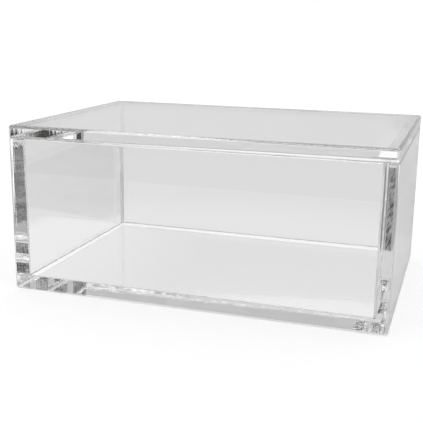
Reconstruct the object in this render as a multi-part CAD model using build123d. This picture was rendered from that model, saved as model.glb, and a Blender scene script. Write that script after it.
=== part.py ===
from build123d import *
import os

# Clear acrylic storage box: five bonded panels and a loose flat lid.
# Millimetres, +X along the long side, +Y towards the back, +Z up.
# The origin is the centre of the underside.

# Outside size of the closed box
box_length = 300.0
box_depth = 203.0
box_height = 134.0

# Acrylic sheet that the panels are cut from
wall_thickness = 10.0
base_thickness = 10.0
lid_thickness = 10.0

# Edges polished round after the panels are bonded
outer_round = 2.2
seam_round = 0.9
inner_round = 0.6

# Film of air between the rim and the loose lid
lid_film = 0.2

# How far past the outside a cutting block reaches
cut_overrun = 6.0

half_length = box_length / 2
half_depth = box_depth / 2
lid_underside = box_height - lid_thickness
rim_height = lid_underside - lid_film


def block(x_span, y_span, z_span):
    """A plain block between a low and a high value on each axis."""
    sizes = [high - low for low, high in (x_span, y_span, z_span)]
    corner = Pos(x_span[0], y_span[0], z_span[0])
    return corner * Box(*sizes, align=(Align.MIN, Align.MIN, Align.MIN))


def footprint_block(low, high):
    """The full outside rectangle of the box, from one height to another."""
    return block((-half_length, half_length), (-half_depth, half_depth), (low, high))


def polish(solid, round_face, seam_face):
    """Round the upright corners with one horizontal face, then the edge at the seam."""
    uprights = solid.edges().filter_by(Axis.Z)
    solid = fillet(uprights + round_face(solid.faces()).edges(), outer_round)
    return fillet(seam_face(solid.faces()).edges(), seam_round)


def lowest(faces):
    return faces.sort_by(Axis.Z)[0]


def highest(faces):
    return faces.sort_by(Axis.Z)[-1]


def bonded_body():
    """The five bonded panels as one polished shape, open at the top."""
    outside = polish(footprint_block(0, rim_height), lowest, highest)
    cavity = block(
        (wall_thickness - half_length, half_length - wall_thickness),
        (wall_thickness - half_depth, half_depth - wall_thickness),
        (base_thickness, rim_height + cut_overrun),
    )
    body = outside - cavity
    rim = highest(body.faces())
    return fillet(rim.inner_wires().edges(), inner_round)


def base_plate(body):
    """The full-size bottom panel that the four walls stand on."""
    reach_x = half_length + cut_overrun
    reach_y = half_depth + cut_overrun
    below = -cut_overrun
    return body & block((-reach_x, reach_x), (-reach_y, reach_y), (below, base_thickness))


def long_wall(body, side):
    """A full-length wall, which covers the ends of both short walls."""
    reach_x = half_length + cut_overrun
    inside = side * (half_depth - wall_thickness)
    outside = side * (half_depth + cut_overrun)
    y_span = (min(inside, outside), max(inside, outside))
    return body & block((-reach_x, reach_x), y_span, (base_thickness, rim_height + cut_overrun))


def short_wall(body, side):
    """An end wall, which stands between the two long walls."""
    reach_y = half_depth - wall_thickness
    inside = side * (half_length - wall_thickness)
    outside = side * (half_length + cut_overrun)
    x_span = (min(inside, outside), max(inside, outside))
    return body & block(x_span, (-reach_y, reach_y), (base_thickness, rim_height + cut_overrun))


def lid_plate():
    """The loose flat lid, as long and deep as the box."""
    return polish(footprint_block(lid_underside, box_height), highest, lowest)


body = bonded_body()
panels = {
    "base_plate": base_plate(body),
    "front_wall": long_wall(body, -1),
    "back_wall": long_wall(body, 1),
    "left_wall": short_wall(body, -1),
    "right_wall": short_wall(body, 1),
    "lid_plate": lid_plate(),
}

os.makedirs("parts", exist_ok=True)
for name, panel in panels.items():
    solid = panel.solid()
    solid.label = name
    export_step(solid, f"parts/{name}.step")
    print(name, "volume", round(solid.volume), "mm3")

room = [
    box_length - 2 * wall_thickness,
    box_depth - 2 * wall_thickness,
    lid_underside - base_thickness,
]
print("room inside", room, "mm")
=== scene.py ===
import math

import bmesh
import bpy
from mathutils import Matrix, Vector


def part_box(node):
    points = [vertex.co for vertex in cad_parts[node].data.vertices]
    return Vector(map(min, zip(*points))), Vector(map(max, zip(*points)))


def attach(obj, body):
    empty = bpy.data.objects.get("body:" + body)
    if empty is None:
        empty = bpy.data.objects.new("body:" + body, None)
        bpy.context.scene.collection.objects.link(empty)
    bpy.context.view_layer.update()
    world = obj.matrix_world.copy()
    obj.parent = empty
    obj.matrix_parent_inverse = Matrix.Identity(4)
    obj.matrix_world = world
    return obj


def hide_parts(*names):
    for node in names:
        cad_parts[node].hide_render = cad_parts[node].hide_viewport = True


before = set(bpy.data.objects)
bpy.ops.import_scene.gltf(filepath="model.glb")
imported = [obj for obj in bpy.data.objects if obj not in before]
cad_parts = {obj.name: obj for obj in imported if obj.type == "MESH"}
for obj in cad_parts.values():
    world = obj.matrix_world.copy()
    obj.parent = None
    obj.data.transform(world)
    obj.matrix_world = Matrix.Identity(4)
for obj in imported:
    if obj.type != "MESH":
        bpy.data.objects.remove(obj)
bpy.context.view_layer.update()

# Sizes in metres, read from the frame
BASE_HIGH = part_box("base_plate")[1]
FRONT_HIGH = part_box("front_wall")[1]
LEFT_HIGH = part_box("left_wall")[1]
LID_LOW, LID_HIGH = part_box("lid_plate")
HALF_LENGTH = BASE_HIGH.x
HALF_DEPTH = BASE_HIGH.y
FLOOR_TOP = BASE_HIGH.z
RIM = FRONT_HIGH.z
ROOM_X = -LEFT_HIGH.x
ROOM_Y = -FRONT_HIGH.y

# Polished edges
OUTER_ROUND = 0.0022
SEAM_ROUND = 0.0009
INNER_ROUND = 0.0006
OUTER_STEPS = 10
SEAM_STEPS = 5
ROUND_PROFILE = 0.5
SHARP_ANGLE = math.radians(30)

# A cutting block reaches this far past the outside
OVERRUN = 0.006

# Half the side of the cube that every block is made from
CUBE_HALF = 0.5

# How close two places are that count as one, and how square a face is that counts as flat
SAME_PLACE = 1e-6
SAME_FACE = 1e-5
SQUARE_ON = 0.99

# Clear cast acrylic, with a fine ripple of the polished faces, drawn out upwards
ACRYLIC_COLOUR = (0.97, 0.97, 0.975, 1)
ACRYLIC_INDEX = 1.49
NOISE_DETAIL = 2.0
RIPPLE_STRETCH = (170, 170, 10)
RIPPLE_HEIGHT = 3e-5
RIPPLE_EDGE = 0.0004
FLAT_RIPPLE = 0.05
END_RIPPLE = 1.0
BASE_RIPPLE = 0.5

# Set solvent in the inside corners, painted white as a painted highlight: gap to the panels,
# legs, tones and length of the streaks
SEAM_GAP = 0.00003
SEAM_X = 0.0014
SEAM_Y_FRONT = 0.0014
SEAM_Y_BACK = 0.0055
FLOOR_SEAM = 0.0008
SEAM_CLEAR = 0.05
# The white of the seams is a painted highlight
SEAM_HIGHLIGHT = 1.0
UPRIGHT_SEAM_DARK = 0.86
FLOOR_SEAM_DARK = 0.9
SEAM_DARK_END = 0.42
SEAM_HIGHLIGHT_START = 0.56
UPRIGHT_SEAM_STRETCH = (60, 60, 40)
FLOOR_SEAM_STRETCH = (90, 90, 90)

# Camera, fitted to the corners of the box in the photograph
IMAGE_WIDTH = 423
SENSOR_WIDTH = 36.0
CAMERA_PLACE = Vector((0.1913, -0.6297, 0.2173))
CAMERA_TURN = math.radians(18.14)
CAMERA_RISE = math.radians(13.92)
CAMERA_ROLL = math.radians(0.71)
FOCAL_PIXELS = 783.1

# A ray may pass this many faces, because it is mirrored to and fro inside the panels
MAX_BOUNCES = 40


def add_object(name, data):
    piece = bpy.data.objects.new(name, data)
    bpy.context.scene.collection.objects.link(piece)
    return piece


def block(name, low, high):
    """A plain block between two corners."""
    mesh = bpy.data.meshes.new(name)
    shape = bmesh.new()
    bmesh.ops.create_cube(shape, size=2 * CUBE_HALF)
    for vertex in shape.verts:
        shares = [place + CUBE_HALF for place in vertex.co]
        vertex.co = Vector([a + share * (b - a) for a, b, share in zip(low, high, shares)])
    shape.to_mesh(mesh)
    shape.free()
    return add_object(name, mesh)


def bevel(piece, chosen, size, steps):
    """Round the edges that chosen picks."""
    shape = bmesh.new()
    shape.from_mesh(piece.data)
    edges = [edge for edge in shape.edges if chosen(*[v.co for v in edge.verts])]
    bmesh.ops.bevel(
        shape, geom=edges, offset=size, offset_type="OFFSET", segments=steps,
        profile=ROUND_PROFILE, affect="EDGES", clamp_overlap=False,
    )
    shape.to_mesh(piece.data)
    shape.free()


def at(value, wanted):
    return abs(value - wanted) < SAME_PLACE


def polished_block(name, low, high, seam_level):
    """A block with large rounds on its outer edges and a small one round its seam end."""
    piece = block(name, low, high)

    def at_seam(a, b):
        return at(a.z, seam_level) and at(b.z, seam_level)

    bevel(piece, lambda a, b: not at_seam(a, b), OUTER_ROUND, OUTER_STEPS)
    bevel(piece, at_seam, SEAM_ROUND, SEAM_STEPS)
    return piece


def settle(piece):
    """Turn the piece's modifiers into its mesh."""
    graph = bpy.context.evaluated_depsgraph_get()
    mesh = bpy.data.meshes.new_from_object(piece.evaluated_get(graph))
    piece.modifiers.clear()
    piece.data = mesh


def combine(piece, cutter, operation):
    """Cut a piece with another, which is used up."""
    step = piece.modifiers.new("cut", "BOOLEAN")
    step.object = cutter
    step.operation = operation
    step.solver = "EXACT"
    settle(piece)
    bpy.data.objects.remove(cutter)


def bonded_body():
    """The five bonded panels as one polished shape, open at the top."""
    low = (-HALF_LENGTH, -HALF_DEPTH, 0)
    body = polished_block("body", low, (HALF_LENGTH, HALF_DEPTH, RIM), RIM)
    room = block("room", (-ROOM_X, -ROOM_Y, FLOOR_TOP), (ROOM_X, ROOM_Y, RIM + OVERRUN))
    combine(body, room, "DIFFERENCE")

    def at_inner_rim(*ends):
        return all(
            at(p.z, RIM) and (at(abs(p.x), ROOM_X) or at(abs(p.y), ROOM_Y)) for p in ends
        )

    bevel(body, at_inner_rim, INNER_ROUND, SEAM_STEPS)
    return body


class Maths:
    """Short forms for the value and colour nodes of one node tree."""

    def __init__(self, tree):
        self.tree = tree

    def new(self, kind):
        return self.tree.nodes.new(kind)

    def feed(self, socket, value):
        """Link a socket to another node, or give it a number."""
        if not isinstance(value, (int, float)):
            self.tree.links.new(value, socket)
        elif socket.type == "RGBA":
            socket.default_value = (value, value, value, 1)
        else:
            socket.default_value = value

    def node(self, operation, *values):
        made = self.new("ShaderNodeMath")
        made.operation = operation
        for socket, value in zip(made.inputs, values):
            self.feed(socket, value)
        return made.outputs[0]

    def chain(self, operation, first, *others):
        for other in others:
            first = self.node(operation, first, other)
        return first

    def add(self, *values):
        return self.chain("ADD", *values)

    def both(self, *values):
        """The product: 1 where all the values are 1."""
        return self.chain("MULTIPLY", *values)

    def either(self, *values):
        """The largest: 1 where any of the values is 1."""
        return self.chain("MAXIMUM", *values)

    def take(self, a, b):
        return self.node("SUBTRACT", a, b)

    def other(self, value):
        """1 for 0, and 0 for 1."""
        return self.take(1.0, value)

    def size(self, value):
        return self.node("ABSOLUTE", value)

    def less(self, a, b):
        return self.node("LESS_THAN", a, b)

    def more(self, a, b):
        return self.node("GREATER_THAN", a, b)

    def pick(self, choice, no, yes):
        """no where choice is 0 and yes where it is 1, for single values."""
        return self.add(no, self.both(choice, self.take(yes, no)))

    def mix(self, choice, no, yes):
        """The same for colours."""
        made = self.new("ShaderNodeMix")
        made.data_type = "RGBA"
        factor = made.inputs[0]
        first, second = [socket for socket in made.inputs if socket.type == "RGBA"]
        for socket, value in ((factor, choice), (first, no), (second, yes)):
            self.feed(socket, value)
        return next(socket for socket in made.outputs if socket.type == "RGBA")

    def rise(self, value, start, end):
        """0 up to start, 1 from end on, and a soft step between them."""
        made = self.new("ShaderNodeMapRange")
        made.interpolation_type = "SMOOTHSTEP"
        self.feed(made.inputs["Value"], value)
        self.feed(made.inputs["From Min"], start)
        self.feed(made.inputs["From Max"], end)
        return made.outputs[0]

    def past(self, value, edge, soft):
        """1 past an edge and 0 before it, with a soft step."""
        return self.rise(value, edge - soft, edge + soft)

    def within(self, value, low, high, soft):
        """1 between two values and 0 outside them, with soft ends."""
        return self.both(self.past(value, low, soft), self.other(self.past(value, high, soft)))

    def split(self, vector):
        made = self.new("ShaderNodeSeparateXYZ")
        self.feed(made.inputs[0], vector)
        return made.outputs

    def noise(self, place, stretch):
        """Noise of another fineness along each axis."""
        mapping = self.new("ShaderNodeMapping")
        mapping.inputs["Scale"].default_value = stretch
        made = self.new("ShaderNodeTexNoise")
        made.inputs["Scale"].default_value = 1.0
        made.inputs["Detail"].default_value = NOISE_DETAIL
        self.feed(mapping.inputs["Vector"], place)
        self.feed(made.inputs["Vector"], mapping.outputs["Vector"])
        return made.outputs[0]


def new_material(name):
    """A material with its node tree."""
    material = bpy.data.materials.new(name)
    material.use_nodes = True
    return material, material.node_tree


def clear_acrylic(name):
    """Clear acrylic, rippled most on the ends of the box and least on its flats."""
    material, tree = new_material(name)
    shader = tree.nodes["Principled BSDF"]
    shader.inputs["Base Color"].default_value = ACRYLIC_COLOUR
    shader.inputs["Transmission Weight"].default_value = 1
    shader.inputs["IOR"].default_value = ACRYLIC_INDEX
    shader.inputs["Roughness"].default_value = 0.0
    do = Maths(tree)
    place = do.new("ShaderNodeTexCoord").outputs["Object"]
    x, _, z = do.split(place)
    end_face = do.more(do.size(x), HALF_LENGTH - RIPPLE_EDGE)
    base_face = do.less(z, FLOOR_TOP + RIPPLE_EDGE)
    height = do.pick(base_face, do.pick(end_face, FLAT_RIPPLE, END_RIPPLE), BASE_RIPPLE)
    bump = do.new("ShaderNodeBump")
    bump.inputs["Strength"].default_value = 1.0
    bump.inputs["Distance"].default_value = RIPPLE_HEIGHT
    do.feed(bump.inputs["Height"], do.both(do.noise(place, RIPPLE_STRETCH), height))
    do.feed(shader.inputs["Normal"], bump.outputs["Normal"])
    return material


def seam_highlight_material(name, dark, stretch):
    """Set solvent in a corner: white as a painted highlight, with slightly darker stretches."""
    material, tree = new_material(name)
    do = Maths(tree)
    ramp = do.new("ShaderNodeValToRGB")
    dark_end, white_start = ramp.color_ramp.elements
    dark_end.position = SEAM_DARK_END
    dark_end.color = (dark, dark, dark, 1)
    white_start.position = SEAM_HIGHLIGHT_START
    # The white end of the ramp is a painted highlight
    white_start.color = (SEAM_HIGHLIGHT, SEAM_HIGHLIGHT, SEAM_HIGHLIGHT, 1)
    place = do.new("ShaderNodeTexCoord").outputs["Object"]
    do.feed(ramp.inputs[0], do.noise(place, stretch))
    shader = tree.nodes["Principled BSDF"]
    do.feed(shader.inputs["Base Color"], ramp.outputs[0])
    clear = do.new("ShaderNodeBsdfTransparent")
    blend = do.new("ShaderNodeMixShader")
    blend.inputs[0].default_value = SEAM_CLEAR
    do.feed(blend.inputs[1], shader.outputs[0])
    do.feed(blend.inputs[2], clear.outputs[0])
    do.feed(tree.nodes["Material Output"].inputs[0], blend.outputs[0])
    return material


def bond_material():
    """A face that is bonded to its neighbour doesn't show, and bends no light."""
    material, tree = new_material("solvent_bond")
    tree.nodes.clear()
    do = Maths(tree)
    clear = do.new("ShaderNodeBsdfTransparent")
    clear.inputs[0].default_value = (1, 1, 1, 1)
    do.feed(do.new("ShaderNodeOutputMaterial").inputs[0], clear.outputs[0])
    return material


def fillet_strip(name, corner, leg_a, leg_b, run, material):
    """A hollow fillet between two legs from a corner, drawn out along run."""
    outline = [corner]
    for step in range(SEAM_STEPS + 1):
        angle = math.pi / 2 * step / SEAM_STEPS
        outline.append(corner + leg_a * (1 - math.sin(angle)) + leg_b * (1 - math.cos(angle)))
    count = len(outline)
    points = [tuple(p) for p in outline] + [tuple(p + run) for p in outline]
    faces = [(i, (i + 1) % count, count + (i + 1) % count, count + i) for i in range(count)]
    faces += [tuple(reversed(range(count))), tuple(range(count, 2 * count))]
    mesh = bpy.data.meshes.new(name)
    mesh.from_pydata(points, [], faces)
    mesh.materials.append(material)
    piece = add_object(name, mesh)
    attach(piece, "box")


def corner_seams():
    """Solvent fillets where the panels meet inside the box, painted white as painted
    highlights.
    """
    upright = seam_highlight_material("upright_seam_highlight", UPRIGHT_SEAM_DARK, UPRIGHT_SEAM_STRETCH)
    along = seam_highlight_material("floor_seam_highlight", FLOOR_SEAM_DARK, FLOOR_SEAM_STRETCH)
    x, y, low = ROOM_X - SEAM_GAP, ROOM_Y - SEAM_GAP, FLOOR_TOP + SEAM_GAP
    rise = Vector((0, 0, RIM - INNER_ROUND - low))
    for end, side_x in (("left", -1), ("right", 1)):
        for side, side_y, leg in (("front", -1, SEAM_Y_FRONT), ("back", 1, SEAM_Y_BACK)):
            corner = Vector((side_x * x, side_y * y, low))
            leg_x, leg_y = Vector((-side_x * SEAM_X, 0, 0)), Vector((0, -side_y * leg, 0))
            fillet_strip(f"seam_{end}_{side}", corner, leg_x, leg_y, rise, upright)
    up = Vector((0, 0, FLOOR_SEAM))
    for name, start, inward, run in (
        ("front", (-x, -y), (0, 1), (2 * x, 0)),
        ("left", (-x, -y), (1, 0), (0, 2 * y)),
        ("back", (-x, y), (0, -1), (2 * x, 0)),
        ("right", (x, -y), (-1, 0), (0, 2 * y)),
    ):
        leg = Vector((*inward, 0)) * FLOOR_SEAM
        fillet_strip(
            "seam_floor_" + name, Vector((*start, low)), leg, up, Vector((*run, 0)), along
        )


def is_bonded(corners, normal):
    """True for a face that lies against another bonded panel."""
    past_room_x = max(abs(corner.x) for corner in corners) > ROOM_X + SAME_FACE
    past_room_y = max(abs(corner.y) for corner in corners) > ROOM_Y + SAME_FACE
    if abs(normal.z) > SQUARE_ON and abs(corners[0].z - FLOOR_TOP) < SAME_FACE:
        return past_room_x or past_room_y
    if abs(normal.y) > SQUARE_ON and abs(abs(corners[0].y) - ROOM_Y) < SAME_FACE:
        return past_room_x
    return False


def finish_mesh(piece, acrylic, bond):
    """Smooth rounds, true flats, and the bond material on the faces that are bonded."""
    mesh = piece.data
    mesh.materials.clear()
    mesh.materials.append(acrylic)
    if bond:
        mesh.materials.append(bond)
    for face in mesh.polygons:
        corners = [mesh.vertices[i].co for i in face.vertices]
        face.material_index = 1 if bond and is_bonded(corners, face.normal) else 0
        face.use_smooth = True
    mesh.set_sharp_from_angle(angle=SHARP_ANGLE)
    weigh = piece.modifiers.new("normals", "WEIGHTED_NORMAL")
    weigh.keep_sharp = True
    settle(piece)


def panel(body, name, low, high, acrylic, bond):
    """The part of the bonded body that lies in one region."""
    piece = add_object(name, body.data.copy())
    combine(piece, block("region", low, high), "INTERSECT")
    finish_mesh(piece, acrylic, bond)
    return piece


acrylic = clear_acrylic("clear_acrylic")
bond = bond_material()
body = bonded_body()
reach_x = HALF_LENGTH + OVERRUN
reach_y = HALF_DEPTH + OVERRUN
top = RIM + OVERRUN
regions = {
    "base_plate": ((-reach_x, -reach_y, -OVERRUN), (reach_x, reach_y, FLOOR_TOP)),
    "front_wall": ((-reach_x, -reach_y, FLOOR_TOP), (reach_x, -ROOM_Y, top)),
    "back_wall": ((-reach_x, ROOM_Y, FLOOR_TOP), (reach_x, reach_y, top)),
    "left_wall": ((-reach_x, -ROOM_Y, FLOOR_TOP), (-ROOM_X, ROOM_Y, top)),
    "right_wall": ((ROOM_X, -ROOM_Y, FLOOR_TOP), (reach_x, ROOM_Y, top)),
}
for node, (low, high) in regions.items():
    piece = panel(body, "clear_" + node, low, high, acrylic, bond)
    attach(piece, "box")
    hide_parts(node)
bpy.data.objects.remove(body)
corner_seams()

lid = polished_block("clear_lid_plate", LID_LOW, LID_HIGH, LID_LOW.z)
finish_mesh(lid, acrylic, None)
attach(lid, "lid")
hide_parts("lid_plate")


def turns(low, high):
    """Two directions round the box in degrees, from the back towards the left."""
    return math.radians(low), math.radians(high)


def rises(low, high):
    """Two heights above the horizon in degrees, as the sines that directions give."""
    return math.sin(math.radians(low)), math.sin(math.radians(high))


# The studio. Levels are radiances, where 1 is white, and lengths are metres in the CAD frame.
# The light that matt surfaces get from all round
DIFFUSE_LIGHT = 1.2

# Limits between whole counts of how often a ray was mirrored, bent or scattered
ONE, TWO, THREE = 0.5, 1.5, 2.5

# How far a zone's edge fades on each side of its limit
SOFT_TURN = math.radians(3)
SHARP_TURN = math.radians(0.05)
SOFT_EDGE = 0.004
SHARP_EDGE = 0.0004

# The table as the camera sees it: most of its white is its own, so its shadow is pale
TABLE_REACH = 40
TABLE_DROP = 0.0001
TABLE_MATT = 0.3
TABLE_OWN_LIGHT = 0.7

# The wall and the table for rays that were never mirrored. The table darkens away from the
# box, is whiter beside it and along the floor's left and back, and glows under the walls,
# with crystals under the right one
SEEN_WALL = 0.8
NEAR_TABLE = 0.88
FAR_TABLE = 0.82
FAR_TABLE_REACH = (0.2, 0.34)
DISTANT_TABLE = 0.72
DISTANT_REACH = (0.5, 1.0)
STEP_Y = 0.33
STEP_DEPTH = 0.05
HALO_LEFT = 0.12
HALO_BACK = 0.03
HALO_LEVEL = 0.12
BESIDE_TABLE = 0.97
BESIDE_REACH = 0.1
BESIDE_BACK = 0.02
BESIDE_SOFT = 0.02
EDGE_GLOW = 1.3
EDGE_GLOW_INSIDE = 0.0015
EDGE_GLOW_REACH = 0.002
SPARKLE_X = 0.13
SPARKLE_Y = 0.06

# Crystals: the tones of small facets, each from its place on the ramp to the next one's
FACETS = (
    (0.0, (0.02, 0.02, 0.02, 1)),
    (0.28, (0.24, 0.2, 0.17, 1)),
    (0.46, (0.6, 0.6, 0.6, 1)),
    (0.62, (0.85, 0.85, 0.85, 1)),
    (0.78, (1.2, 1.2, 1.2, 1)),
)
SKY_CELLS = 80
FINE_CELLS = 300
CHIP_CELLS = 160
TABLE_CELLS = 28
SPARKLE_CELLS = 300

# The room for mirrored rays: walls, a dark side, a dark room behind the camera and its lamp
WALL = 0.72
OVERHEAD = 0.68
DARK_SIDE = 0.42
DARK_SIDE_TURN = turns(-115, -16)
DARK_SIDE_RISE = rises(17, 62)
DARK_ROOM = 0.08
OUTSIDE_ROOM = 0.5
ROOM_TURN = math.radians(125)
ROOM_TOP = math.sin(math.radians(40))
LAMP = 9.0
LAMP_TURN = math.radians(140)
LAMP_RISE = rises(45, 59)

# Rays mirrored once: the light in the polished edges
EDGE_LIGHT = 1.15
EDGE_LIGHT_TURN = turns(-35, 35)
EDGE_LIGHT_SOFT = math.radians(8)
EDGE_LIGHT_FROM = math.sin(math.radians(20))
EDGE_LIGHT_TOP = rises(52, 66)

# Rays mirrored twice: a dark patch low at the back, and the crystals in the right post
CORNER_DARK = 0.02
CORNER_TURN = turns(3, 6.5)
CORNER_RISE = rises(9, 20)
POST_TURN = turns(-16, 0)
POST_RISE = rises(18, 26)

# Rays mirrored three times or more: bands, crystals and chips that the edges of the base and
# lid show, all painted reflections
LOW_LIGHT = 0.55
LOW_LIGHT_TURN = turns(2, 45)
LOW_LIGHT_TOP = math.sin(math.radians(45))
TOP_LIGHT = 1.15
TOP_LIGHT_TURN = turns(18, 45)
TOP_LIGHT_FROM = math.sin(math.radians(40))
FOOT_DARK = 0.3
FOOT_TURN = turns(4, 17.5)
FOOT_RISE = rises(40, 51)
RIM_LIGHT = 1.05
RIM_LIGHT_TURN = turns(4, 30)
RIM_LIGHT_TOP = math.sin(math.radians(15))
CRYSTAL_TURN = math.radians(7)
FINE_TURN = math.radians(-8)
CHIP_TURN = math.radians(-26.8)
CHIP_SHADE = 0.5
CHIP_NEAR_TURN = math.radians(-50)
CHIP_TOP_NEAR, CHIP_TOP = rises(38.5, 47)
GAP_LEVEL = 0.95
GAP_TURN = turns(-26.8, -11)

# The table for mirrored rays, with a dark grained card behind the box and one of crystals
# further back
TABLE = 0.68
OUTSIDE_TABLE = 0.7
CARD_DARK = 0.03
CARD_LIGHT = 0.42
CARD_GRAIN = (700, 25, 1)
CARD_GRAIN_STEP = (0.35, 0.65)
CARD_LEFT = -0.105
CARD_RIGHT = 0.157
CARD_SLANT = 0.088
CARD_SLANT_FROM = 0.1985
CARD_NEAR = 0.155
CARD_NEAR_SLANT = 0.2
CARD_FAR = 0.63
CARD_STRIP = (0.133, 0.147)
STRIP_SOFT = 0.001
SIDE_CARD_X = (0.21, 0.92)
SIDE_CARD_Y = (0.65, 0.96)

# Rays mirrored twice that meet the table: a painted highlight that whitens the cap of the right
# corner, and a painted dark reflection below it
CAP = 1.05
CAP_X = (0.042, 0.1)
CAP_Y = (0.7, 0.94)
UNDER_CAP_SLANT = 0.145
UNDER_CAP_X = 0.055

# Rays mirrored three times or more that meet the table: the left post and the left corner
FAR_EDGE = 1.1
FAR_EDGE_X = -0.13
FAR_EDGE_Y = 0.2
NEAR_REACH = 0.3
NEAR_Y = 0.08
POST_FOOT = 0.45
POST_FOOT_X = (-0.175, -0.1)
POST_FOOT_Y = (0.13, 0.19)
LOW_POST_X = (-0.2, -0.05)
LOW_POST_Y = (0.05, 0.13)
CORNER_X = (0.36, 0.42)
CORNER_WHITE = 0.5


def crystal_tone(do, place, cells):
    """Many small dark, brown, grey and white facets, as cut edges mirror them to and fro."""
    facets = do.new("ShaderNodeTexVoronoi")
    facets.inputs["Scale"].default_value = cells
    do.feed(facets.inputs["Vector"], place)
    split = do.new("ShaderNodeSeparateColor")
    do.feed(split.inputs[0], facets.outputs["Color"])
    ramp = do.new("ShaderNodeValToRGB")
    ramp.color_ramp.interpolation = "CONSTANT"
    points = ramp.color_ramp.elements
    points.remove(points[1])
    points[0].position, points[0].color = FACETS[0]
    for position, tone in FACETS[1:]:
        points.new(position).color = tone
    do.feed(ramp.inputs[0], split.outputs[0])
    return ramp.outputs[0]


class Path:
    """How a ray came here, as values of 1 or 0."""

    def __init__(self, do):
        came = do.new("ShaderNodeLightPath").outputs
        times = came["Glossy Depth"]
        self.from_camera = came["Is Camera Ray"]
        self.from_matt = do.more(came["Diffuse Depth"], ONE)
        self.from_inside = do.more(came["Transmission Depth"], ONE)
        self.mirrored = do.more(times, ONE)
        self.once = do.less(times, TWO)
        self.often = do.more(times, THREE)
        self.seldom = do.other(self.often)
        self.twice = do.both(self.seldom, do.other(self.once))


def plain_room(do, turn, height, path):
    """The large tones round the box for mirrored rays."""
    facing = do.size(turn)
    dark_side = do.both(
        do.within(turn, *DARK_SIDE_TURN, SOFT_TURN),
        do.within(height, *DARK_SIDE_RISE, SOFT_TURN),
    )
    walls = do.pick(do.rise(height, ROOM_TOP, 1.0), WALL, OVERHEAD)
    walls = do.pick(dark_side, walls, DARK_SIDE)
    low_light = do.both(
        do.within(turn, *LOW_LIGHT_TURN, SOFT_TURN), do.less(height, LOW_LIGHT_TOP), path.often
    )
    walls = do.pick(low_light, walls, LOW_LIGHT)
    behind = do.both(do.past(facing, ROOM_TURN, SOFT_TURN), do.less(height, ROOM_TOP))
    room = do.pick(behind, walls, do.pick(path.from_inside, OUTSIDE_ROOM, DARK_ROOM))
    lamp = do.both(
        do.past(facing, LAMP_TURN, SOFT_TURN), do.within(height, *LAMP_RISE, SOFT_TURN),
        path.seldom,
    )
    room = do.pick(lamp, room, LAMP)
    edge = do.both(
        do.within(turn, *EDGE_LIGHT_TURN, EDGE_LIGHT_SOFT), path.once,
        do.more(height, EDGE_LIGHT_FROM), do.other(do.rise(height, *EDGE_LIGHT_TOP)),
    )
    return do.pick(edge, room, EDGE_LIGHT)


def mirrored_room(do, direction, turn, height, path):
    """The room for mirrored rays, with the crystals, chips and lights of the edges."""

    def patch(turn_span, rise_span):
        return do.both(
            do.within(turn, *turn_span, SHARP_TURN), do.within(height, *rise_span, SHARP_TURN)
        )

    corner = do.both(patch(CORNER_TURN, CORNER_RISE), path.twice)
    room = do.pick(corner, plain_room(do, turn, height, path), CORNER_DARK)
    crystals = do.mix(
        do.more(turn, FINE_TURN),
        crystal_tone(do, direction, SKY_CELLS),
        crystal_tone(do, direction, FINE_CELLS),
    )
    to_side = do.both(do.less(turn, CRYSTAL_TURN), path.often)
    post = do.both(patch(POST_TURN, POST_RISE), path.twice)
    room = do.mix(do.either(to_side, post), room, crystals)
    # The chips are painted dark reflections
    chip_top = do.pick(do.less(turn, CHIP_NEAR_TURN), CHIP_TOP_NEAR, CHIP_TOP)
    chips = do.mix(CHIP_SHADE, 0.0, crystal_tone(do, direction, CHIP_CELLS))
    chips = do.mix(do.less(height, chip_top), GAP_LEVEL, chips)
    top_light = do.both(
        do.within(turn, *TOP_LIGHT_TURN, SOFT_TURN), do.more(height, TOP_LIGHT_FROM)
    )
    rim_light = do.both(
        do.within(turn, *RIM_LIGHT_TURN, SOFT_TURN), do.less(height, RIM_LIGHT_TOP)
    )
    for zone, tone in (
        (do.less(turn, CHIP_TURN), chips),
        (do.within(turn, *GAP_TURN, SHARP_TURN), GAP_LEVEL),
        (top_light, TOP_LIGHT),
        (patch(FOOT_TURN, FOOT_RISE), FOOT_DARK),
        (rim_light, RIM_LIGHT),
    ):
        room = do.mix(do.both(zone, path.often), room, tone)
    return room


def world_light():
    """What a ray meets that misses the table, by its direction and how it came here."""
    world = bpy.data.worlds.new("studio")
    bpy.context.scene.world = world
    world.use_nodes = True
    tree = world.node_tree
    tree.nodes.clear()
    do = Maths(tree)
    direction = do.new("ShaderNodeTexCoord").outputs["Generated"]
    x, y, height = do.split(direction)
    turn = do.node("ARCTAN2", do.both(x, -1.0), y)
    path = Path(do)
    level = do.mix(path.mirrored, SEEN_WALL, mirrored_room(do, direction, turn, height, path))
    level = do.mix(path.from_matt, level, DIFFUSE_LIGHT)
    level = do.mix(path.from_camera, level, 1.0)
    background = do.new("ShaderNodeBackground")
    do.feed(background.inputs["Color"], level)
    do.feed(do.new("ShaderNodeOutputWorld").inputs[0], background.outputs[0])


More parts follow.
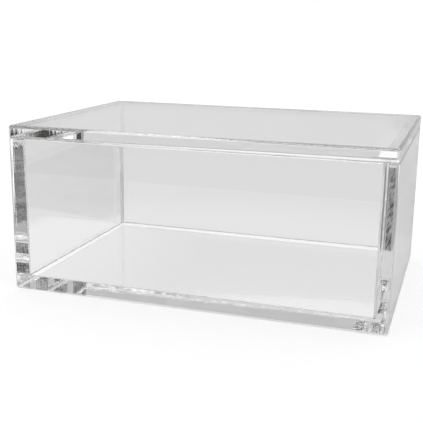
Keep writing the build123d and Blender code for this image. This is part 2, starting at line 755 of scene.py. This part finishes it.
def straight_table(do, x, y, sparkle):
    """The table for rays that were never mirrored."""
    to_left = do.both(x, -1.0)
    reach = do.node("SQRT", do.add(do.node("POWER", x, 2), do.node("POWER", y, 2)))
    tone = do.pick(do.rise(reach, *FAR_TABLE_REACH), NEAR_TABLE, FAR_TABLE)
    step = do.both(do.past(y, STEP_Y, SOFT_EDGE), -STEP_DEPTH)
    halo = do.either(
        do.rise(to_left, ROOM_X - HALO_LEFT, ROOM_X), do.rise(y, ROOM_Y - HALO_BACK, ROOM_Y)
    )
    in_box = do.both(do.less(to_left, HALF_LENGTH), do.less(y, HALF_DEPTH))
    tone = do.add(tone, step, do.both(halo, HALO_LEVEL, in_box))
    tone = do.pick(do.rise(reach, *DISTANT_REACH), tone, DISTANT_TABLE)
    beside = do.both(
        do.within(x, -HALF_LENGTH - BESIDE_REACH, -HALF_LENGTH, BESIDE_SOFT),
        do.less(do.size(y), HALF_DEPTH + BESIDE_BACK),
    )
    tone = do.pick(beside, tone, BESIDE_TABLE)
    past_room = do.either(do.take(do.size(x), ROOM_X), do.take(do.size(y), ROOM_Y))
    glow_end = HALF_LENGTH - ROOM_X + EDGE_GLOW_REACH
    under_walls = do.within(past_room, -EDGE_GLOW_INSIDE, glow_end, SHARP_EDGE)
    at_right = do.both(do.more(x, SPARKLE_X), do.less(y, SPARKLE_Y))
    return do.mix(under_walls, tone, do.mix(at_right, EDGE_GLOW, sparkle))


def dark_card(do, place, x, y):
    """Where the card behind the box lies, and its grained tone."""
    slanted = do.take(x, do.both(do.take(y, CARD_SLANT_FROM), CARD_SLANT))
    near_edge = do.take(y, do.both(x, CARD_NEAR_SLANT))
    card = do.both(
        do.past(x, CARD_LEFT, SOFT_EDGE),
        do.less(slanted, CARD_RIGHT),
        do.past(near_edge, CARD_NEAR, SOFT_EDGE),
        do.less(y, CARD_FAR),
        do.other(do.within(slanted, *CARD_STRIP, STRIP_SOFT)),
    )
    grain = do.rise(do.noise(place, CARD_GRAIN), *CARD_GRAIN_STEP)
    return card, do.pick(grain, CARD_DARK, CARD_LIGHT)


def mirrored_table(do, place, x, y, sparkle, path):
    """The table for mirrored rays."""

    def patch(x_span, y_span, x_soft=SOFT_EDGE):
        return do.both(do.within(x, *x_span, x_soft), do.within(y, *y_span, SOFT_EDGE))

    card, card_tone = dark_card(do, place, x, y)
    tone = do.pick(card, TABLE, card_tone)
    far_edge = do.both(path.often, do.more(y, FAR_EDGE_Y), do.less(x, FAR_EDGE_X))
    tone = do.pick(far_edge, tone, FAR_EDGE)
    tone = do.pick(do.both(patch(POST_FOOT_X, POST_FOOT_Y), path.often), tone, POST_FOOT)
    # A painted highlight on the right corner's cap, and a painted dark reflection below it
    tone = do.pick(do.both(patch(CAP_X, CAP_Y, SHARP_EDGE), path.twice), tone, CAP)
    cap_far = CAP_Y[1]
    drawn = do.add(x, do.both(do.take(y, cap_far), UNDER_CAP_SLANT))
    under_cap = do.both(do.more(drawn, UNDER_CAP_X), do.more(y, cap_far), path.twice)
    tone = do.pick(under_cap, tone, CORNER_DARK)
    near = do.both(do.less(do.size(x), NEAR_REACH), do.less(y, NEAR_Y))
    low_post = patch(LOW_POST_X, LOW_POST_Y)
    broken = do.both(path.often, do.either(near, patch(SIDE_CARD_X, SIDE_CARD_Y), low_post))
    pale = do.either(do.within(x, *CORNER_X, SOFT_EDGE), low_post)
    crystals = do.mix(
        pale, crystal_tone(do, place, TABLE_CELLS), do.mix(CORNER_WHITE, sparkle, 1.0)
    )
    tone = do.mix(broken, tone, crystals)
    return do.mix(path.from_inside, OUTSIDE_TABLE, tone)


def table_top():
    """A white table for the camera, with other tones for rays that the box bends or mirrors."""
    mesh = bpy.data.meshes.new("table")
    shape = bmesh.new()
    bmesh.ops.create_grid(shape, x_segments=1, y_segments=1, size=TABLE_REACH)
    shape.to_mesh(mesh)
    shape.free()
    piece = add_object("table", mesh)
    piece.location.z = -TABLE_DROP
    material, tree = new_material("table")
    tree.nodes.clear()
    do = Maths(tree)
    place = do.new("ShaderNodeNewGeometry").outputs["Position"]
    x, y, _ = do.split(place)
    path = Path(do)
    sparkle = crystal_tone(do, place, SPARKLE_CELLS)
    seen = do.mix(
        path.mirrored,
        straight_table(do, x, y, sparkle),
        mirrored_table(do, place, x, y, sparkle, path),
    )
    seen = do.mix(path.from_matt, seen, DIFFUSE_LIGHT)
    through = do.new("ShaderNodeEmission")
    do.feed(through.inputs["Color"], seen)
    matt = do.new("ShaderNodeBsdfDiffuse")
    do.feed(matt.inputs["Color"], TABLE_MATT)
    own_light = do.new("ShaderNodeEmission")
    own_light.inputs["Strength"].default_value = TABLE_OWN_LIGHT
    total = do.new("ShaderNodeAddShader")
    do.feed(total.inputs[0], matt.outputs[0])
    do.feed(total.inputs[1], own_light.outputs[0])
    choice = do.new("ShaderNodeMixShader")
    do.feed(choice.inputs[0], path.from_camera)
    do.feed(choice.inputs[1], through.outputs[0])
    do.feed(choice.inputs[2], total.outputs[0])
    do.feed(do.new("ShaderNodeOutputMaterial").inputs[0], choice.outputs[0])
    mesh.materials.append(material)


def camera():
    """The photograph's camera."""
    back = Vector((
        math.sin(CAMERA_TURN) * math.cos(CAMERA_RISE),
        -math.cos(CAMERA_TURN) * math.cos(CAMERA_RISE),
        math.sin(CAMERA_RISE),
    ))
    right = (-back).cross(Vector((0, 0, 1))).normalized()
    up = right.cross(-back)
    cos, sin = math.cos(CAMERA_ROLL), math.sin(CAMERA_ROLL)
    turned = Matrix((right * cos + up * sin, up * cos - right * sin, back)).transposed()
    data = bpy.data.cameras.new("camera")
    data.sensor_width = SENSOR_WIDTH
    data.lens = FOCAL_PIXELS * SENSOR_WIDTH / IMAGE_WIDTH
    eye = add_object("camera", data)
    eye.matrix_world = Matrix.Translation(CAMERA_PLACE) @ turned.to_4x4()
    bpy.context.scene.camera = eye


world_light()
table_top()
camera()
settings = bpy.context.scene.cycles
settings.max_bounces = MAX_BOUNCES
settings.transmission_bounces = MAX_BOUNCES
settings.glossy_bounces = MAX_BOUNCES
settings.transparent_max_bounces = MAX_BOUNCES
bpy.context.scene.view_settings.view_transform = "Standard"
